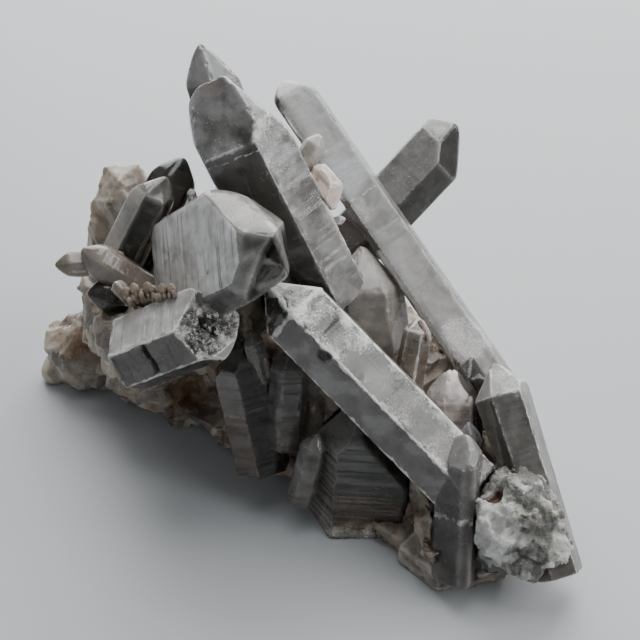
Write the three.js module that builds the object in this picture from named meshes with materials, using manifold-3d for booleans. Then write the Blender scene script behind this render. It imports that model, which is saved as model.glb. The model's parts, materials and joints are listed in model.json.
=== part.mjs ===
// A smoky quartz cluster: long six-sided crystals standing on a lump of massive quartz.
// Millimetres, +Z up. The origin is on the flat broken underside, near the middle of the lump.
//
// A quartz crystal is the space inside six prism faces, six termination faces and its buried
// root. The prism faces lie round the axis 60 degrees apart, each at its own distance from it.
// The termination faces lean in over them, each moved out or in along its own normal.
import * as THREE from 'three';
import { ConvexGeometry } from 'three/addons/geometries/ConvexGeometry.js';
import { mergeVertices } from 'three/addons/utils/BufferGeometryUtils.js';
import Module from 'manifold-3d';

const wasm = await Module();
wasm.setup();

// Driving dimensions.
const seatGap = 0.3;            // clearance between a crystal and what it is seated in
const terminationAngle = 51.8;  // degrees between the axis and a termination face's normal
const underside = 0;            // height of the flat underside
const weldDistance = 0.001;     // corners closer than this are one corner

// Colours of the stone.
const smoke = 0x6f6c6a;
const paleSmoke = 0xa9a8a9;
const darkSmoke = 0x3c3b3c;
const milky = 0xd9d3cb;
const cream = 0xe6dccb;

// Each crystal: tip and root are points on its axis, roll turns the first prism face round the
// axis, half is the distance of each prism face from the axis, and cap is how far each
// termination face lies outside the tip. taper is the root's width over the tip's width, and
// lean takes the place of the termination angle where steeper faces have grown over the tip.
const tallFront = {
  tip: [-12, 25, 81], root: [9.3, 10.2, 34.3], roll: -40,
  half: [8.2, 9, 9, 10, 9, 9.6], cap: [1.2, 0.2, 3.2, 5.1, -1.8, 0.5],
  lean: [67, 51.8, 51.8, 68, 51.8, 51.8],
};
const tallRear = {
  tip: [-15.8, 44, 77.6], root: [-2.6, 20, 24], roll: -20, lean: 60,
  half: [6.2, 6, 6, 5.4, 5.4, 6], cap: [0.8, 0, 0, 1, 0.6, 0.8],
};
const longRear = {
  tip: [0.8, 47.4, 67.6], root: [47, -12, 18], roll: -46,
  half: [4.8, 4.8, 4.8, 3.7, 5.8, 3.7], cap: [0, 0, 0, 0, 1.5, -0.2],
};
const rightRear = {
  tip: [40.6, 42, 57], root: [8, 26.5, 28.7], roll: -10,
  half: [7.2, 7, 6.4, 6.4, 6.3, 5.7], cap: [-0.6, 0, 0, 0, 3.5, 0.6],
};
const longFront = {
  tip: [-4, 1, 50], root: [36, -27.5, 16], roll: -42,
  half: [6, 6.6, 6.6, 7.7, 7.4, 6], cap: [-2, 0, 0, 0, -1, -2],
};
const upperStriated = {
  tip: [0.5, -12, 68.5], root: [-22.5, 10, 41], roll: 30,
  half: [10, 9.5, 9.8, 9.8, 12.7, 5.5], cap: [1.9, 0, 0, 0, -0.5, 0.7],
};
const lowerStriated = {
  tip: [-10.5, -11.5, 48.5], root: [-31, -9.1, 37.7], roll: -18,
  half: [6.8, 7, 6, 6.4, 7.5, 6], cap: [3, 3, 3, 3, 3, 3],
  broken: { lean: [0.7, -0.5], back: 1.2 },
};
const roundTipped = {
  tip: [-23, 23, 61], root: [-38, 12, 38], roll: -35,
  half: [4, 4.4, 4.2, 4, 4.8, 3.8], cap: [-1, 0, 0, 0, -1, -1],
};
const behindRoundTipped = {
  tip: [-19.5, 29.5, 60.5], root: [-34, 21, 36], roll: -20,
  half: [5, 5, 5, 5, 5, 5], cap: [0, 0, 0, 0, 0, 0],
};
const leftEndPoint = {
  tip: [-46.5, 9, 47.4], root: [-33, 12, 45], roll: 10, half: 2.6, cap: 0.6,
};
const leftEndLying = {
  tip: [-41.5, 9.5, 51.5], root: [-26, 8, 38], roll: 0, half: 3.6, cap: 0,
};
const leftEndDark = {
  tip: [-40, 4, 43.5], root: [-29, 11, 37], roll: 20, half: 3.4, cap: 0.6,
};
const spear = {
  tip: [16.8, 17, 47], root: [17, 3, 20], roll: -30, half: 6.2, cap: -1.5, taper: 1.5,
};
const slender = {
  tip: [27.8, -0.8, 38.3], root: [23, -12.5, 19], roll: -30, half: 2.6, cap: 0, taper: 1.25,
};
const rightEnd = {
  tip: [41.5, -10.8, 33.9], root: [52, -42.6, 6.2], roll: -38, taper: 0.8,
  half: [4.4, 5.4, 5.4, 5.4, 6.2, 5.1], cap: [0, 0, 0, 0, 0.4, -0.4],
};
const besideRightEnd = {
  tip: [38, -5.5, 31], root: [36, -18, 12], roll: -10, half: 3.6, cap: 0,
};
const capped = {
  tip: [33.6, -24.4, 30.2], root: [31.4, -40.5, 3], roll: -15,
  half: [4, 4.5, 4.5, 4.7, 3.4, 5.2], cap: [0, 0, 0, 0, -2, 0],
};
const milkyPoint = {
  tip: [33.5, -7, 31], root: [33, -19, 10], roll: -20,
  half: [5, 5, 5, 5.4, 5, 5], cap: [0, 0, 0, 0, -1, -1],
};
const leaf = {
  tip: [36.2, -16.4, 23.4], root: [36.4, -24, 9], roll: 10, half: [2.2, 3, 3, 2.2, 3, 3], cap: 0,
};
const squat = {
  tip: [13.9, -12.8, 26.9], root: [10.5, -21, -4.6], roll: -10,
  half: [13.5, 11, 7.7, 7.7, 6.3, 7], cap: [0, 0, 0, 0, -0.7, 1.3],
};
const lowerLeft = {
  tip: [-9.6, -1.8, 36], root: [-5, -13.5, 8], roll: -30,
  half: [4.4, 4.4, 4.4, 6.6, 5.2, 4.4], cap: 0,
};
const lowerMiddle = {
  tip: [1.3, -4, 35], root: [-1.3, -12.8, 14], roll: 0, half: [3.6, 4, 4, 3.6, 4, 4], cap: 0,
};
const lowerOval = {
  tip: [-6.9, -4.1, 38.8], root: [-4.9, -6.9, 27], roll: -30, half: 2.1, cap: 0,
};
const lowerRight = {
  tip: [6, -16.5, 22], root: [1.4, -21.6, 6.5], roll: 10, half: 2.7, cap: 0,
};

// Small side crystals of the tall one, and the tiny ones in the valley between the striated pair.
const sideCrystals = [
  { tip: [9.4, 22.8, 68], root: [1.5, 17.5, 57], roll: 0, half: 2.3, cap: 0 },
  {
    tip: [10.4, 13, 61.5], root: [9.8, 19, 57], roll: -25, half: [4.4, 2.8, 4.9, 3.2, 2.6, 4.7],
    cap: [1.6, 1.6, 2, -0.4, -0.4, 1.6], broken: { lean: [0.3, -0.14], back: 1.4 },
  },
  { tip: [13.6, 12.6, 53.4], root: [9, 13, 52], roll: 0, half: 1, cap: 0 },
];
const valley = {
  start: [-30.5, -3.2, 48], end: [-19.8, -6.8, 51.6], count: 9, width: 0.8, height: 2.8,
};

// Lumps of massive quartz: centre, radii and a seed for their broken facets.
const matrixLumps = [
  { at: [-48, 29, 6], size: [12.5, 11, 12.5], seed: 1 },
  { at: [-38, 24, 22], size: [11, 13, 15], seed: 2 },
  { at: [-30, 18, 17], size: [14, 13, 19], seed: 3 },
  { at: [-37, 37, 22], size: [14, 13, 23], seed: 4 },
  { at: [-36, 37, 42], size: [7.5, 7, 12], seed: 5 },
  { at: [-31, 4, 29], size: [10, 9, 12], seed: 6 },
  { at: [-16, 20, 18], size: [16, 16, 21], seed: 7 },
  { at: [-20, 34, 17], size: [17, 14, 22], seed: 8 },
  { at: [-2, 31, 15], size: [17, 14, 18], seed: 15 },
  { at: [4, 8, 14], size: [16, 17, 19], seed: 9 },
  { at: [14, 20, 14], size: [17, 16, 18], seed: 10 },
  { at: [26, 9, 12], size: [16, 15, 15], seed: 16 },
  { at: [20, -6, 12], size: [15, 15, 17], seed: 11 },
  { at: [34, -3, 11], size: [14, 15, 15], seed: 12 },
  { at: [34, -18, 10], size: [14, 15, 14], seed: 13 },
  { at: [32, -31, 7], size: [9, 9.5, 8], seed: 14 },
];
const fringe = {
  from: [-58, 28, 3], to: [5, -14, 3], hollow: 5.5, unevenness: 1.5, count: 17, size: 4,
};
const brokenLumps = [
  { at: [43.5, -35, 15], size: [8.5, 9, 10], seed: 21 },
  { at: [44.5, -31, 18], size: [6.5, 7, 6], seed: 22 },
  { at: [40, -37, 12], size: [7, 6.5, 9], seed: 23 },
  { at: [49, -40, 12], size: [5.5, 5, 5.5], seed: 24 },
  { at: [45, -40, 10], size: [6.5, 5.5, 6.5], seed: 25 },
];
const brokenGrains = { count: 16, size: 2.1 };

// Where the underside is cut flat: the left and the right part of the footprint.
const leftFoot = [
  [-57, 30], [-43, 20], [-28, 12], [-13, 3], [2, -10], [20, 10], [2, 37], [-22, 43], [-44, 43], [-55, 36],
];
const rightFoot = [
  [2, -12], [12, -22], [22, -26], [26.5, -36], [33, -40], [42, -39], [45, -26], [42, -2], [28, 18], [0, 30],
];
const footHeight = 5;
const footFlare = 1.05;         // the foot is this much wider at its top than on the ground

const radians = THREE.MathUtils.degToRad;

// A repeatable number from 0 to 1 for a pair of whole numbers.
function chance(first, second) {
  const wave = Math.sin(first * 12.9898 + second * 78.233) * 43758.5453;
  return wave - Math.floor(wave);
}

// One value for each of the six faces, from one number or a list of six.
const perFace = (value) => (Array.isArray(value) ? value : Array(6).fill(value));

// The faces of a crystal, grown outwards by clearance, as normals and distances from the tip.
function crystalFaces(crystal, clearance) {
  const tip = new THREE.Vector3(...crystal.tip);
  const axis = tip.clone().sub(new THREE.Vector3(...crystal.root));
  const length = axis.length();
  axis.normalize();
  const across = axis.clone().cross(new THREE.Vector3(0, 0, 1)).normalize();
  const around = axis.clone().cross(across);
  const half = perFace(crystal.half);
  const cap = perFace(crystal.cap);
  const narrowing = 1 - (crystal.taper ?? 1);
  const lean = perFace(crystal.lean ?? terminationAngle).map(radians);
  const faces = [{ normal: axis.clone().negate(), distance: length + clearance }];
  for (let side = 0; side < 6; side += 1) {
    const turn = radians(crystal.roll + 60 * side);
    const outward = across.clone().multiplyScalar(Math.cos(turn));
    outward.addScaledVector(around, Math.sin(turn));
    const prism = outward.clone().addScaledVector(axis, -half[side] * narrowing / length);
    faces.push({ normal: prism, distance: half[side] + clearance });
    const termination = outward.clone().multiplyScalar(Math.sin(lean[side]));
    termination.addScaledVector(axis, Math.cos(lean[side]));
    faces.push({ normal: termination, distance: cap[side] + clearance });
  }
  if (crystal.broken) {
    const breakNormal = axis.clone().addScaledVector(across, crystal.broken.lean[0]);
    breakNormal.addScaledVector(around, crystal.broken.lean[1]);
    faces.push({ normal: breakNormal, distance: clearance - crystal.broken.back });
  }
  return { tip, faces };
}

// The corners where three faces meet and no other face cuts the meeting point off.
function cornersOf({ tip, faces }) {
  const corners = [];
  for (let a = 0; a < faces.length; a += 1) {
    for (let b = a + 1; b < faces.length; b += 1) {
      for (let c = b + 1; c < faces.length; c += 1) {
        const bc = faces[b].normal.clone().cross(faces[c].normal);
        const volume = faces[a].normal.dot(bc);
        if (Math.abs(volume) < 1e-6) continue;
        const point = bc.multiplyScalar(faces[a].distance);
        const ca = faces[c].normal.clone().cross(faces[a].normal);
        const ab = faces[a].normal.clone().cross(faces[b].normal);
        point.addScaledVector(ca, faces[b].distance).addScaledVector(ab, faces[c].distance);
        point.divideScalar(volume);
        const inside = faces.every((face) => face.normal.dot(point) <= face.distance + 1e-6);
        const isNew = corners.every((corner) => corner.distanceTo(point) > weldDistance * 10);
        if (inside && isNew) corners.push(point);
      }
    }
  }
  return corners.map((corner) => corner.add(tip));
}

// A geometry with shared corners becomes a solid that can be joined and cut.
function solidOf(geometry) {
  const bare = geometry.clone();
  bare.deleteAttribute('normal');
  bare.deleteAttribute('uv');
  const welded = mergeVertices(bare, weldDistance);
  return new wasm.Manifold(new wasm.Mesh({
    numProp: 3,
    vertProperties: Float32Array.from(welded.attributes.position.array),
    triVerts: Uint32Array.from(welded.index.array),
  }));
}

const hullOf = (points) => solidOf(new ConvexGeometry(points));

function crystalSolid(crystal, clearance = 0) {
  return hullOf(cornersOf(crystalFaces(crystal, clearance)));
}

// A broken lump: the points of a ball pushed in and out at random, inside their flat facets.
function lumpSolid({ at, size, seed, detail = 1 }, clearance = 0) {
  const ball = new THREE.IcosahedronGeometry(1, detail);
  ball.deleteAttribute('normal');
  ball.deleteAttribute('uv');
  const position = mergeVertices(ball, weldDistance).attributes.position;
  const points = [];
  for (let i = 0; i < position.count; i += 1) {
    const push = 0.8 + 0.3 * chance(seed, i);
    const point = new THREE.Vector3().fromBufferAttribute(position, i);
    point.multiply(new THREE.Vector3(...size).multiplyScalar(push).addScalar(clearance));
    points.push(point.add(new THREE.Vector3(...at)));
  }
  return hullOf(points);
}

// The foot under the lump: a footprint raised straight up and flared a little.
function footSolid(outline) {
  const centre = [0, 0];
  for (const [x, y] of outline) {
    centre[0] += x / outline.length;
    centre[1] += y / outline.length;
  }
  const points = [];
  for (const [x, y] of outline) {
    points.push(new THREE.Vector3(x, y, underside));
    const flaredX = centre[0] + (x - centre[0]) * footFlare;
    const flaredY = centre[1] + (y - centre[1]) * footFlare;
    points.push(new THREE.Vector3(flaredX, flaredY, underside + footHeight));
  }
  return hullOf(points);
}

const joined = (solids) => solids.reduce((whole, solid) => whole.add(solid));
const alongLine = (from, to, share) => from.map((value, i) => value + (to[i] - value) * share);

// The tiny crystals that stand in a row where the two striated crystals meet.
function valleyCrystals() {
  const crystals = [];
  for (let i = 0; i < valley.count; i += 1) {
    const foot = alongLine(valley.start, valley.end, i / (valley.count - 1));
    const rise = valley.height * (0.55 + 0.6 * chance(31, i));
    const width = valley.width * (0.8 + 0.5 * chance(32, i));
    const tip = [foot[0] + chance(33, i) - 0.5, foot[1] - 0.5, foot[2] + rise];
    const root = [foot[0], foot[1] + 0.5, foot[2] - 2];
    crystals.push({ tip, root, roll: 60 * chance(34, i), half: width, cap: 0 });
  }
  return crystals;
}

// Knobs of white quartz along the front lower edge of the lump.
function fringeLumps() {
  const lumps = [];
  for (let i = 0; i < fringe.count; i += 1) {
    const share = i / (fringe.count - 1);
    const at = alongLine(fringe.from, fringe.to, share);
    const back = fringe.hollow * Math.sin(Math.PI * share) + fringe.unevenness * Math.sin(i * 2.1);
    const size = [0.9, 1, 0.8].map((part) => fringe.size * part * (0.8 + 0.4 * chance(41, i)));
    lumps.push({ at: [at[0], at[1] + back, at[2]], size, seed: 50 + i });
  }
  return lumps;
}

// Coarse grains standing out of the broken block at the right.
function grainLumps() {
  const lumps = [];
  const block = brokenLumps[0];
  for (let i = 0; i < brokenGrains.count; i += 1) {
    const turn = i * 2.4;
    const rise = 0.9 - 1.5 * (i / brokenGrains.count);
    const flat = Math.sqrt(1 - rise * rise);
    const way = [Math.cos(turn) * flat, Math.sin(turn) * flat, rise];
    const at = block.at.map((value, axis) => value + way[axis] * block.size[axis] * 0.92);
    const size = brokenGrains.size * (0.7 + 0.6 * chance(61, i));
    lumps.push({ at, size: [size, size, size], seed: 70 + i });
  }
  return lumps;
}

// The shape of a group, as a function of the clearance it is grown by.
function crystalGroup(...crystals) {
  return (clearance) => joined(crystals.map((one) => crystalSolid(one, clearance)));
}

function lumpGroup(...lumps) {
  return (clearance) => joined(lumps.map((one) => lumpSolid(one, clearance)));
}

function matrixSolid() {
  const lumps = lumpGroup(...matrixLumps, ...fringeLumps());
  return joined([lumps(0), footSolid(leftFoot), footSolid(rightFoot)]);
}

// The pieces, from the one that keeps its whole shape to the one that all others are cut out of.
const pieces = [
  {
    name: 'striated_crystal_pair',
    colour: paleSmoke,
    make: crystalGroup(upperStriated, lowerStriated, ...valleyCrystals()),
  },
  { name: 'tall_front_crystal', colour: smoke, make: crystalGroup(tallFront, ...sideCrystals) },
  { name: 'capped_crystal', colour: smoke, make: crystalGroup(capped, leaf) },
  { name: 'long_front_crystal', colour: paleSmoke, make: crystalGroup(longFront) },
  { name: 'long_rear_crystal', colour: paleSmoke, make: crystalGroup(longRear) },
  { name: 'right_end_crystal', colour: darkSmoke, make: crystalGroup(rightEnd, besideRightEnd) },
  { name: 'tall_rear_crystal', colour: smoke, make: crystalGroup(tallRear) },
  { name: 'right_rear_crystal', colour: smoke, make: crystalGroup(rightRear) },
  {
    name: 'round_tipped_crystals',
    colour: smoke,
    make: crystalGroup(roundTipped, behindRoundTipped),
  },
  {
    name: 'left_end_crystals',
    colour: smoke,
    make: crystalGroup(leftEndPoint, leftEndLying, leftEndDark),
  },
  { name: 'spear_crystal', colour: milky, make: crystalGroup(spear) },
  { name: 'slender_crystal', colour: milky, make: crystalGroup(slender) },
  { name: 'milky_crystal', colour: milky, make: crystalGroup(milkyPoint) },
  { name: 'squat_crystal', colour: darkSmoke, make: crystalGroup(squat) },
  {
    name: 'lower_front_crystals',
    colour: darkSmoke,
    make: crystalGroup(lowerLeft, lowerMiddle, lowerOval, lowerRight),
  },
  { name: 'broken_block', colour: cream, make: lumpGroup(...brokenLumps, ...grainLumps()) },
  { name: 'matrix', colour: cream, make: matrixSolid },
];

// The largest body of a solid: what a cut leaves loose beside it is chipped away.
function largestBody(solid) {
  const bodies = solid.decompose();
  return bodies.reduce((best, body) => (body.volume() > best.volume() ? body : best));
}

function meshOf(name, solid, colour) {
  const { numProp, vertProperties, triVerts } = solid.getMesh();
  const geometry = new THREE.BufferGeometry();
  const corners = new Float32Array((vertProperties.length / numProp) * 3);
  for (let i = 0; i < corners.length / 3; i += 1) {
    for (let axis = 0; axis < 3; axis += 1) corners[3 * i + axis] = vertProperties[numProp * i + axis];
  }
  geometry.setAttribute('position', new THREE.BufferAttribute(corners, 3));
  geometry.setIndex(new THREE.BufferAttribute(Uint32Array.from(triVerts), 1));
  geometry.computeVertexNormals();
  const material = new THREE.MeshStandardMaterial({
    color: colour,
    roughness: 0.25,
    metalness: 0,
    flatShading: true,
  });
  const mesh = new THREE.Mesh(geometry, material);
  mesh.name = name;
  return mesh;
}

const ground = solidOf(new THREE.BoxGeometry(400, 400, 100).translate(0, 0, underside - 50));
const cluster = new THREE.Group();
let taken = null;               // the room that earlier pieces keep for themselves
for (const { name, colour, make } of pieces) {
  let solid = make(0).subtract(ground);
  if (taken) solid = solid.subtract(taken);
  solid = largestBody(solid);
  cluster.add(meshOf(name, solid, colour));
  if (name !== 'matrix') {
    const room = make(seatGap);
    taken = taken ? taken.add(room) : room;
  }
}

export default cluster;
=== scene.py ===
"""A smoky quartz cluster: long six-sided crystals on a lump of pale massive quartz.

Every crystal is the surface seen from its own axis: a ray goes out from the axis for each
pair of grid values (round the crystal, along the crystal), and the surface lies where that
ray leaves the room between the crystal's flat faces. Lengths are in millimetres until a mesh
is made, and metres from there on.
"""

from __future__ import annotations

import json
import logging
import math
from dataclasses import dataclass
from enum import Enum
from itertools import product
from typing import Iterator, Sequence

import bmesh
import bpy
import numpy as np
from mathutils import Matrix, Vector

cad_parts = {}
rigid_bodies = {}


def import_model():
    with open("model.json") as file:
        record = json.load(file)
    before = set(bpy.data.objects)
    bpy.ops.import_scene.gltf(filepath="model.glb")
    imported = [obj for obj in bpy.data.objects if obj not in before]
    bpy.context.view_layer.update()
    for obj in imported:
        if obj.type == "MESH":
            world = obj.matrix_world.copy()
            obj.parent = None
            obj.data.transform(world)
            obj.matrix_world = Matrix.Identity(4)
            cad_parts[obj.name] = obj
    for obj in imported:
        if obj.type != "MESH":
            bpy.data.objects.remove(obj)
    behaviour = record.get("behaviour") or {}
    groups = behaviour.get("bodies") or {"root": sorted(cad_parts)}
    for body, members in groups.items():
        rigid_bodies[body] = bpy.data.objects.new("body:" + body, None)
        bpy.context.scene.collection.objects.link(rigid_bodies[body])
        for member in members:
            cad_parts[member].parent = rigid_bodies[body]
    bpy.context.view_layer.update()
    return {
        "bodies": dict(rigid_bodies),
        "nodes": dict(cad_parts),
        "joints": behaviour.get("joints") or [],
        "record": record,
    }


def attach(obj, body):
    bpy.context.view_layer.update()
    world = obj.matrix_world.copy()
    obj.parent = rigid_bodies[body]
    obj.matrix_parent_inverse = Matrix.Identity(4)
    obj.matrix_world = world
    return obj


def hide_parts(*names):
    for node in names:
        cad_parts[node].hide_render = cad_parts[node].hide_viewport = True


LOG = logging.getLogger("quartz")

MM = 0.001
TIP_ANGLE = 51.8  # degrees between a crystal's axis and a tip face's normal
UNDERSIDE = 0.0  # height of the flat broken underside
FINEST_STEP = 0.07  # grid size of the tiniest crystals
BURIED_HAZE = 0.1  # milkiness of the faces that are never seen
QUARTZ_IOR = 1.544  # how strongly quartz bends light
SCRAMBLERS = (374761393, 668265263, 1442695041, 1274126177, 1103515245)  # large odd numbers
FRAME: dict[str, dict] = {}  # the loaded frame

Array = np.ndarray
Tree = bpy.types.NodeTree
Socket = bpy.types.NodeSocket
Triple = tuple[float, float, float]
Colour = tuple[float, float, float, float]
Six = tuple[float, float, float, float, float, float]


def linear(code: str) -> Colour:
    """Turns an sRGB hex colour into linear light.

    Args:
        code: six hex digits after a hash sign.

    Returns:
        Red, green, blue and an alpha of 1.
    """
    parts = [int(code[i : i + 2], 16) / 255 for i in (1, 3, 5)]
    light = [c / 12.92 if c <= 0.04045 else ((c + 0.055) / 1.055) ** 2.4 for c in parts]
    return (light[0], light[1], light[2], 1.0)


# ---------------------------------------------------------------- numbers


def smoothstep(low: float, high: float, value: Array) -> Array:
    """A soft ramp: 0 below low, 1 above high, and 3t^2 - 2t^3 in between.

    Args:
        low: value at which the ramp starts.
        high: value at which it ends.
        value: what is ramped.

    Returns:
        The ramp, from 0 to 1.
    """
    t = np.clip((value - low) / (high - low), 0.0, 1.0)
    return t * t * (3.0 - 2.0 * t)


def lattice(corners: Array, seed: int) -> Array:
    """A repeatable random number for each point of a whole-number lattice.

    Args:
        corners: lattice points, in the last axis x, y and z.
        seed: which set of random numbers.

    Returns:
        Numbers from -1 to 1.
    """
    mixed = seed * SCRAMBLERS[3]
    for i in range(3):
        mixed = mixed + corners[..., i].astype(np.int64) * SCRAMBLERS[i]
    mixed = (mixed ^ (mixed >> 13)) * SCRAMBLERS[4]
    mixed = mixed ^ (mixed >> 16)
    return (mixed & 0xFFFFFF) / float(0x7FFFFF) - 1.0


def noise(points: Array, scale: float, seed: int = 0, octaves: int = 1) -> Array:
    """Smooth noise in space: lattice numbers blended by 3t^2 - 2t^3, each octave half as big.

    Args:
        points: places in millimetres.
        scale: size of the largest bumps in millimetres.
        seed: which noise.
        octaves: how many sizes of bumps are added.

    Returns:
        Values from about -1 to 1.
    """
    total = np.zeros(points.shape[:-1])
    for octave in range(octaves):
        place = points / scale * 2.0**octave + 31.7 * octave
        cell = np.floor(place)
        part = place - cell
        part = part * part * (3.0 - 2.0 * part)
        for corner in product((0, 1), repeat=3):
            picked = np.where(np.array(corner) == 1, part, 1.0 - part)
            weight = picked[..., 0] * picked[..., 1] * picked[..., 2]
            total += weight * lattice(cell + corner, seed + octave) / 2.0**octave
    return total


def cells(points: Array, scale: float, seed: int) -> tuple[Array, Array]:
    """Splits space into cells round jittered lattice places, each point to its nearest place.

    Args:
        points: places in millimetres.
        scale: size of the cells in millimetres.
        seed: which cells.

    Returns:
        Each point's offset from its cell's place, in cell sizes, and the cell's lattice point.
    """
    place = points / scale
    home = np.floor(place)
    nearest = np.full(place.shape[:-1], np.inf)
    offset, owner = np.zeros_like(place), np.zeros_like(place)
    for step in product((-1.0, 0.0, 1.0), repeat=3):
        cell = home + step
        jitter = np.stack([lattice(cell, seed + k) for k in (1, 2, 3)], -1) * 0.4 + 0.5
        gap = place - cell - jitter
        far = (gap**2).sum(axis=-1)
        closer = far < nearest
        nearest = np.where(closer, far, nearest)
        offset = np.where(closer[..., None], gap, offset)
        owner = np.where(closer[..., None], cell, owner)
    return offset, owner


def shards(points: Array, scale: float, seed: int) -> Array:
    """Height of a broken surface: each cell is a facet with a tilt and a level of its own.

    Args:
        points: places in millimetres.
        scale: size of the facets in millimetres.
        seed: which facets.

    Returns:
        Heights from about -1 to 1.
    """
    offset, owner = cells(points, scale, seed)
    tilt = np.stack([lattice(owner, seed + k) for k in (11, 12, 13)], -1)
    return (offset * tilt).sum(axis=-1) + 0.2 * lattice(owner, seed + 14)


def six(value: float | Six) -> Array:
    """One number for each of the six faces, from one number or from six."""
    return np.broadcast_to(np.asarray(value, float), (6,)).copy()


# ---------------------------------------------------------------- crystals


@dataclass(frozen=True)
class Patch:
    """A soft-edged place where the look changes. Lengths are in millimetres.

    haze, dust and stain are added to the surface's own amounts, and dent is how deep it sinks.
    """

    place: Triple
    radius: float
    haze: float = 0.0
    dust: float = 0.0
    stain: float = 0.0
    dent: float = 0.0

    def weight(self, points: Array) -> Array:
        """How much each point is in the patch: its distance, made uneven, on a soft ramp.

        Args:
            points: places in millimetres.

        Returns:
            1 inside, 0 outside the border.
        """
        far = np.linalg.norm(points - np.array(self.place), axis=-1) / self.radius
        far = far + 0.3 * noise(points, 0.7 * self.radius, int(self.radius * 7), 3)
        return 1.0 - smoothstep(0.55, 1.05, far)


@dataclass(frozen=True)
class Groove:
    """A line across the prism faces, or across one of them, with dust in it. Millimetres."""

    down: float
    width: float
    depth: float
    face: int | None = None
    dust: float = 0.0

    def weight(self, down: Array, side: Array, face: Array) -> Array:
        """How much each point is in the groove, from 0 to 1: exp(-(distance / width)^4)."""
        near = np.exp(-(((down - self.down - 0.15 * np.sin(side)) / self.width) ** 4))
        return near * ((face >= 1) & (face <= 6) if self.face is None else face == self.face + 1)


@dataclass(frozen=True)
class Growth:
    """How one crystal grew and wore. Depths and lengths are in millimetres.

    striation: depth of the steps that run across the prism faces.
    waviness: depth of the slow unevenness of every face.
    rounding: softness of the edges.
    chips, chip_reach: depth of the nicks along the edges, and how far in they go.
    dust: white specks and etching on the faces that look up, from 0 to 1; where it is high, the
    finish also scatters painted glints.
    worn: width of the white crumbled line along the edges, partly wear and partly a painted highlight where
    light catches the edges.
    crumbs: width of the band of white crumbs along the upper edges.
    tip_frost, frost_reach: whiteness of the tip, and how far down it goes.
    haze, tip_haze: milkiness behind each prism face and each tip face, from 0 to 1; set face by
    face, it also paints each face lighter or darker as the light falls on it.
    cloud: how uneven that milkiness is, from 0 to 1.
    rim, rim_width: milkiness added along the edges, which paints the glow of light through the thin edges,
    and how far in it goes.
    stain, stain_from: brown tint towards the root, and how far down from the tip it starts.
    tip_stain: brown tint at the tip.
    broken_depth: roughness of a broken end.
    grooves, patches: lines and places with a look of their own.
    """

    striation: float = 0.05
    waviness: float = 0.06
    rounding: float = 0.2
    chips: float = 0.25
    chip_reach: float = 0.5
    dust: float = 0.15
    worn_with_lit_edges: float = 0.08
    crumbs: float = 0.0
    tip_frost: float = 0.0
    frost_reach: float = 2.0
    haze: float | Six = 0.12
    tip_haze: float | Six = 0.2
    cloud: float = 0.2
    rim_glow: float = 0.15
    rim_width: float = 0.9
    stain: float = 0.3
    stain_from: float = 20.0
    tip_stain: float = 0.0
    broken_depth: float = 0.9
    grooves: tuple[Groove, ...] = ()
    patches: tuple[Patch, ...] = ()


class Kind(Enum):
    """What a flat face of a crystal is."""

    ROOT = 0.0
    PRISM = 0.5
    TIP = 1.0
    BROKEN = 0.25


@dataclass
class Skin:
    """A closed grid surface and what is known at each of its points."""

    points: Array
    quads: Array
    triangles: Array
    habit: Array
    growth: Array


@dataclass
class Hits:
    """Where the rays leave the crystal.

    normal, kind and face are those of the flat face there, and edge is how far its edge is.
    """

    point: Array
    normal: Array
    kind: Array
    face: Array
    edge: Array


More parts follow.
